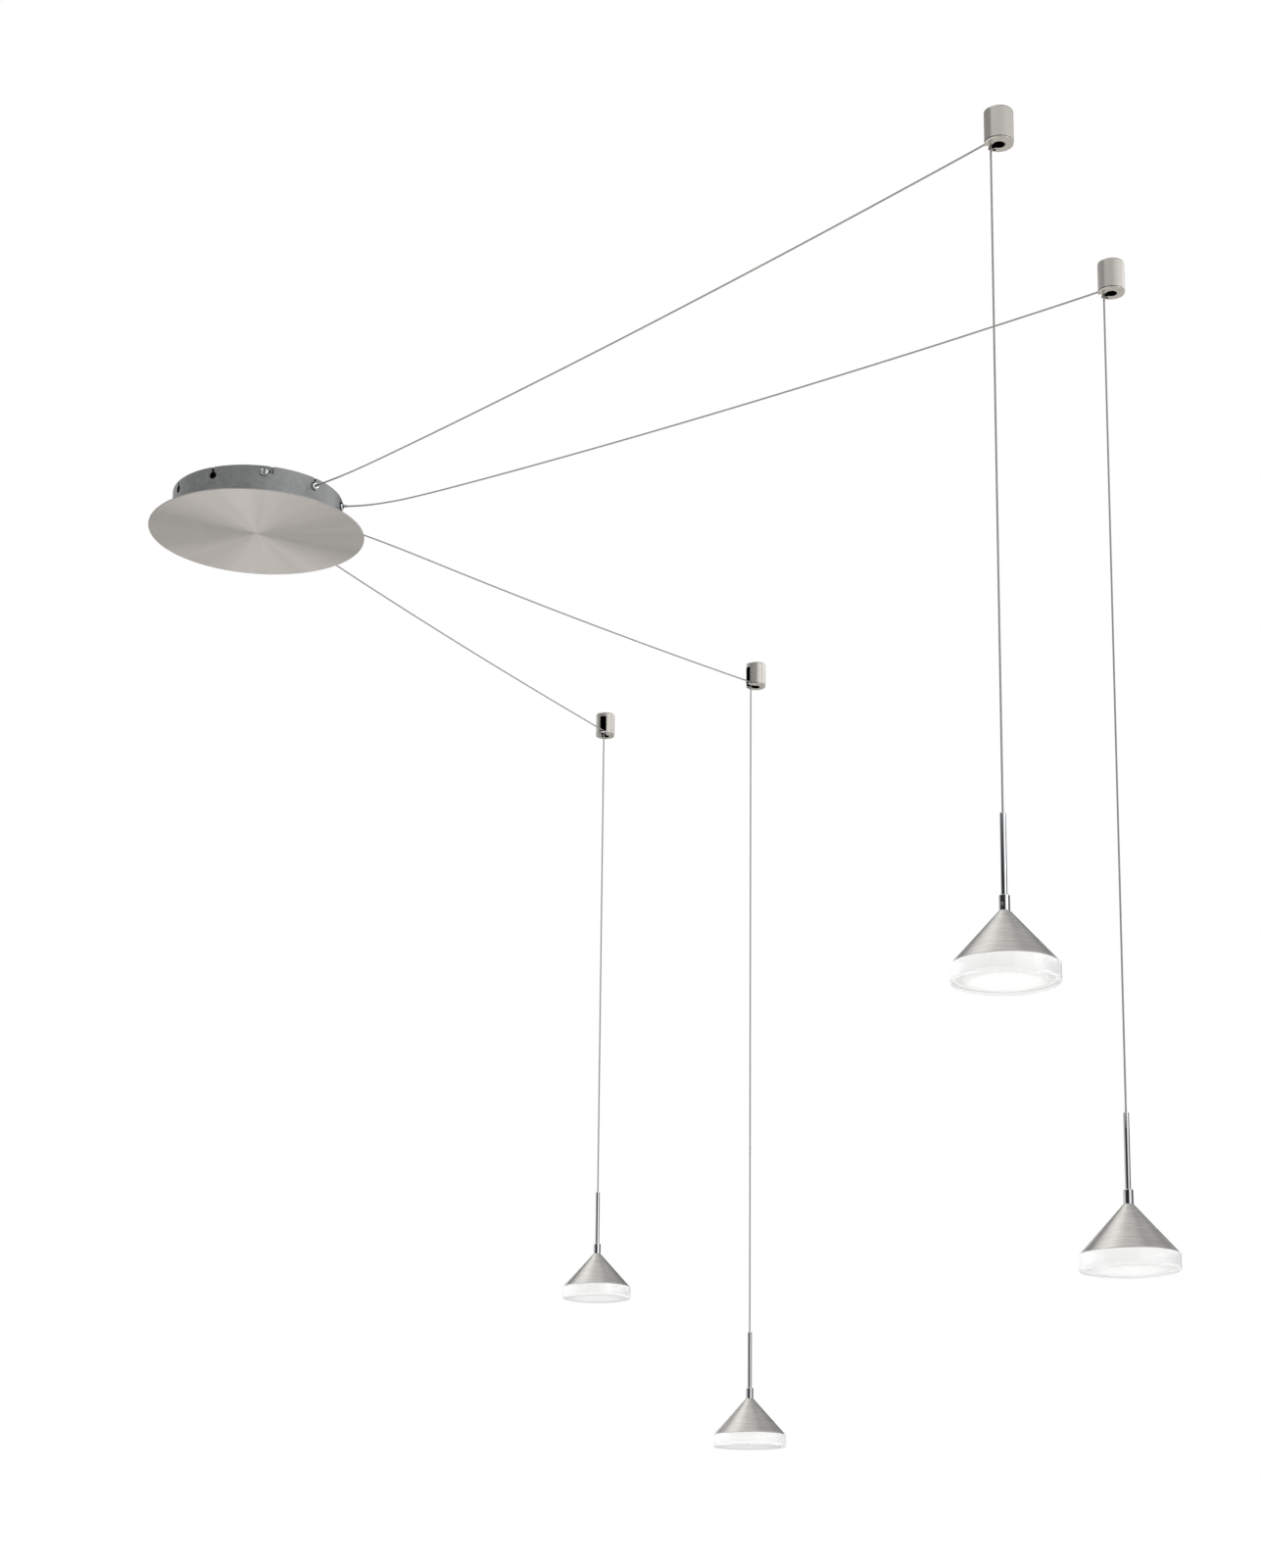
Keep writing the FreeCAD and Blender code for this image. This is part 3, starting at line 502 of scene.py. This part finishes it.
def turnedAluminium():
    # Turned and brushed aluminium, clear anodised: pale silver with level streaks round the cone that
    # catch the light unevenly. Real lines are 0.2 mm apart, drawn coarser.
    material, tree = newMaterial("brushedAnodisedAluminium")
    lines = latheLines(tree, cone["sizeMm"], cone["lineMm"], cone["lineStreaks"], 0, 1)
    bands = latheLines(tree, cone["sizeMm"], cone["bandMm"], cone["bandStreaks"], 0, 1)
    both = addNode(tree, "ShaderNodeMath", {"operation": "MULTIPLY_ADD"},
                   in0=bands, in1=cone["bandShare"], in2=cone["darker"])
    both = addNode(tree, "ShaderNodeMath", {"operation": "MULTIPLY_ADD"},
                   in0=lines, in1=cone["lineShare"], in2=both.outputs[0])
    along = addNode(tree, "ShaderNodeTangent", {"direction_type": "RADIAL", "axis": "Z"})
    return surface(material, tree, both.outputs[0], cone["tones"], cone["roughness"], reliefMm=0.05,
                   Metallic=1.0, Anisotropic=0.7, Anisotropic_Rotation=0.25, Tangent=along.outputs[0])


lens = {
    "tones": ("#EDEDEC", "#F5F5F4"),
    "roughness": (0.02, 0.05),
    "hazeMm": 30.0,
    "clearness": 0.65,
    "glow": 0.235,
    "glowTones": ("#D6D8DB", "#FAFBFD"),  # at its lower face and at its top
}


def castAcrylic():
    # Cast acrylic, polished: clear and water-white with a milky glow where the light runs along in it,
    # weaker at the lower face.
    material, tree = newMaterial("polishedCastAcrylic")
    box = addNode(tree, "ShaderNodeTexCoord").outputs["Generated"]
    height = addNode(tree, "ShaderNodeSeparateXYZ", Vector=box).outputs["Z"]
    glow = addNode(tree, "ShaderNodeMix", {"data_type": "RGBA"}, in0=height,
                   in6=linear(lens["glowTones"][0]), in7=linear(lens["glowTones"][1]))
    return surface(material, tree, grain(tree, lens["hazeMm"], 2.0), lens["tones"], lens["roughness"],
                   IOR=1.49, Transmission_Weight=lens["clearness"],
                   Emission_Color=glow.outputs[2], Emission_Strength=lens["glow"])


diffuser = {
    "tones": ("#E2E2E0", "#EEEEEC"),
    "roughness": (0.45, 0.6),
    "grainMm": 2.0,
    "glow": 0.34,
    "glowTones": ("#FFFFFF", "#A8A8A7"),  # at its middle and at its edge
    "glowFall": 5.0,  # the power of the distance from the middle, so that it weakens near the edge alone
}


def opalAcrylic():
    # Opal acrylic sheet lit from behind: even white, a shade weaker towards its edge.
    material, tree = newMaterial("litOpalAcrylic")
    radius = fromAxis(tree, 2.0)[1]  # 1 at the edge
    edge = addNode(tree, "ShaderNodeMath", {"operation": "POWER"}, in0=radius, in1=diffuser["glowFall"])
    glow = addNode(tree, "ShaderNodeMix", {"data_type": "RGBA"}, in0=edge.outputs[0],
                   in6=linear(diffuser["glowTones"][0]), in7=linear(diffuser["glowTones"][1]))
    return surface(material, tree, grain(tree, diffuser["grainMm"]), diffuser["tones"], diffuser["roughness"],
                   IOR=1.49, Emission_Color=glow.outputs[2], Emission_Strength=diffuser["glow"])


board = {
    "maskHex": "#F3F3EF",
    "chipHex": "#F1E3B0",
    "chipsTo": 0.3,  # how far up the chips reach, as a share of the height of board and chips together
    "roughness": (0.25, 0.4),
    "grainMm": 1.2,
}


def solderMask():
    # Aluminium board with white solder mask: smooth glossy white, and yellow phosphor on the chips,
    # which stand out under its lower face.
    material, tree = newMaterial("whiteSolderMaskBoard")
    box = addNode(tree, "ShaderNodeTexCoord").outputs["Generated"]
    height = addNode(tree, "ShaderNodeSeparateXYZ", Vector=box).outputs["Z"]
    onChip = addNode(tree, "ShaderNodeMath", {"operation": "LESS_THAN"}, in0=height, in1=board["chipsTo"])
    colour = addNode(tree, "ShaderNodeMix", {"data_type": "RGBA"}, in0=onChip.outputs[0],
                     in6=linear(board["maskHex"]), in7=linear(board["chipHex"]))
    return surface(material, tree, grain(tree, board["grainMm"]), colour.outputs[2], board["roughness"],
                   reliefMm=0.01, IOR=1.5)


chrome = polishedChrome("polishedChromePlate", underCeiling=False)
shadedChrome = polishedChrome("polishedChromeFitting", underCeiling=True)
fastener = zincScrew()
finishes = {
    "ceiling_bracket": zincSheet(), "canopy_drum": galvanisedSheet(), "cover_plate": brushedNickelPlate(),
    "led_driver": mouldedAbs(), "terminal_block": mouldedPolyamide(),
    "plate_fixings": fastener, "bracket_screws": fastener, "clip_grub_screws": blackScrew(),
    "side_screws": shadedChrome, "cable_glands": shadedChrome, "gland_nuts": chrome, "clip_pins": chrome,
}
perHead = {
    "clip_cup": turnedNickel("satinNickelCup", clip["cupBore"]),
    "clip_cap": turnedNickel("satinNickelCap", clip["capBore"]),
    "shade_cone": turnedAluminium(), "lens": castAcrylic(), "diffuser": opalAcrylic(),
    "led_board": solderMask(), "head_screws": fastener,
    "stem_tube": chrome, "stem_collar": chrome, "stem_lead": jacketMaterial,
}
for part, material in perHead.items():
    for head in heads:
        finishes[part + "_" + head] = material
for part, material in finishes.items():
    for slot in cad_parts[part].material_slots:
        slot.material = material
print("finishes given to", len(finishes), "parts")

# Studio: pale floor well under the heads, daylight from all round with darker places in it for the
# chrome to show, a softbox at the side, and a long one that lies on the floor, for the cover plate to mirror.
studio = {
    "floorHeight": -2.35,
    "floorMiddle": (0.5, 0.0),
    "floorSize": 14.0,
    "floorTones": ("#EDEBE6", "#F6F4F0"),
    "floorRoughness": (0.8, 0.9),
    "floorCloudMm": 400.0,
    "lamps": (
        {"name": "sideBox", "place": (3.6, -2.2, 0.2), "aim": (0.5, 0.0, -0.6),
         "size": (1.2, 1.2), "watts": 6},
        {"name": "floorBox", "place": (-0.8, 0.2, -2.33), "aim": (-0.8, 0.2, 0.0),
         "size": (2.6, 6.8), "watts": 31},
    ),
    "brightest": 2.6,
    # rings of daylight, each at a sine of the angle above the horizon, with its tones as (degrees from +X
    # towards +Y, tone). No tone is over the brightest.
    "daylight": (
        (-0.25, ((-180, 0.4), (-90, 0.6), (0, 0.9), (45, 1.7), (70, 1.5), (90, 0.3), (180, 0.4))),
        (0.17, ((-180, 0.65), (-160, 0.65), (-153, 0.03), (-76, 0.03), (-70, 1.1), (-24, 1.1), (-14, 0.1),
                (82, 0.1), (96, 0.9), (150, 0.8), (180, 0.65))),
        (0.285, ((-180, 0.1), (-174, 0.03), (-76, 0.03), (-70, 1.1), (-16, 1.1), (-6, 0.1),
                 (82, 0.1), (96, 0.9), (150, 0.8), (170, 0.1), (180, 0.1))),
        (0.33, ((-180, 0.4), (-150, 0.3), (-120, 0.6), (-95, 0.72), (-60, 0.85), (0, 0.9), (40, 1.8), (61, 0.2),
                (82, 0.1), (100, 0.9), (150, 0.8), (180, 0.4))),
        (0.39, ((-180, 0.75), (-165, 0.6), (-150, 0.2), (-100, 0.05), (-80, 0.45), (-50, 1.1), (20, 2.6),
                (48, 2.6), (61, 0.2), (88, 0.1), (104, 0.9), (150, 0.8), (180, 0.75))),
        (0.52, ((-180, 0.03), (-167, 0.05), (-149, 1.1), (-105, 1.2), (-60, 0.8), (0, 0.4), (40, 0.4),
                (60, 0.25), (85, 0.1), (100, 0.3), (130, 0.2), (180, 0.05))),
        (0.82, ((-180, 1.7), (-160, 1.7), (-148, 0.2), (-20, 0.2), (0, 0.7), (45, 0.6), (80, 0.6), (110, 0.9),
                (135, 1.5), (180, 1.7))),
        (0.93, ((-180, 1.8), (-165, 1.6), (-120, 0.8), (-60, 0.6), (0, 0.6), (60, 0.7), (120, 1.4), (150, 1.8),
                (180, 1.8))),
        (1.0, ((-180, 1.1), (180, 1.1))),
    ),
}


def makeFloor():
    mesh = bpy.data.meshes.new("studioFloor")
    shape = bmesh.new()
    bmesh.ops.create_grid(shape, x_segments=8, y_segments=8, size=studio["floorSize"] / 2)
    shape.to_mesh(mesh)
    shape.free()
    floor = bpy.data.objects.new("studioFloor", mesh)
    floor.location = (*studio["floorMiddle"], studio["floorHeight"])
    bpy.context.scene.collection.objects.link(floor)
    # matt painted plaster: pale and warm, with broad clouds that hardly show
    material, tree = newMaterial("paleMattPlaster")
    mesh.materials.append(surface(material, tree, grain(tree, studio["floorCloudMm"]), studio["floorTones"],
                                  studio["floorRoughness"], reliefMm=0.5))


def makeLights():
    for lamp in studio["lamps"]:
        data = bpy.data.lights.new(lamp["name"], "AREA")
        data.shape = "RECTANGLE"
        data.size, data.size_y = lamp["size"]
        data.energy = lamp["watts"]
        piece = bpy.data.objects.new(lamp["name"], data)
        piece.location = lamp["place"]
        piece.rotation_euler = (Vector(lamp["aim"]) - piece.location).to_track_quat("-Z", "Y").to_euler()
        piece.visible_camera = False
        bpy.context.scene.collection.objects.link(piece)


def makeDaylight():
    world = bpy.data.worlds.new("studioDaylight")
    world.use_nodes = True
    tree = world.node_tree
    tree.nodes.clear()
    direction = addNode(tree, "ShaderNodeTexCoord").outputs["Generated"]
    way = addNode(tree, "ShaderNodeSeparateXYZ", Vector=direction)
    turn = addNode(tree, "ShaderNodeMath", {"operation": "ARCTAN2"},
                   in0=way.outputs["Y"], in1=way.outputs["X"])
    turn = addNode(tree, "ShaderNodeMapRange", Value=turn.outputs[0], From_Min=-math.pi, From_Max=math.pi)
    tone, lastSine = None, None
    for sine, steps in studio["daylight"]:
        ramp = addNode(tree, "ShaderNodeValToRGB", Fac=turn.outputs[0])
        while len(ramp.color_ramp.elements) < len(steps):
            ramp.color_ramp.elements.new(0.5)
        for element, (degrees, strength) in zip(ramp.color_ramp.elements, steps):
            element.position = (degrees + 180) / 360
            element.color = [strength / studio["brightest"]] * 3 + [1]
        if tone is None:
            tone = ramp.outputs["Color"]
        else:
            share = addNode(tree, "ShaderNodeMapRange", {"interpolation_type": "SMOOTHSTEP"},
                            Value=way.outputs["Z"], From_Min=lastSine, From_Max=sine)
            tone = addNode(tree, "ShaderNodeMix", {"data_type": "RGBA"},
                           in0=share.outputs[0], in6=tone, in7=ramp.outputs["Color"]).outputs[2]
        lastSine = sine
    # the metal mirrors the daylight, and the camera sees plain white behind the light, as in the photograph
    around = addNode(tree, "ShaderNodeBackground", Color=tone, Strength=studio["brightest"])
    plain = addNode(tree, "ShaderNodeBackground", Color=(1, 1, 1, 1), Strength=1.0)
    seen = addNode(tree, "ShaderNodeLightPath").outputs["Is Camera Ray"]
    both = addNode(tree, "ShaderNodeMixShader", Fac=seen, in1=around.outputs[0], in2=plain.outputs[0])
    addNode(tree, "ShaderNodeOutputWorld", Surface=both.outputs[0])
    bpy.context.scene.world = world


makeFloor()
makeLights()
makeDaylight()
bpy.context.scene.view_settings.view_transform = "Standard"  # keeps the white of the background white
print("studio lit")
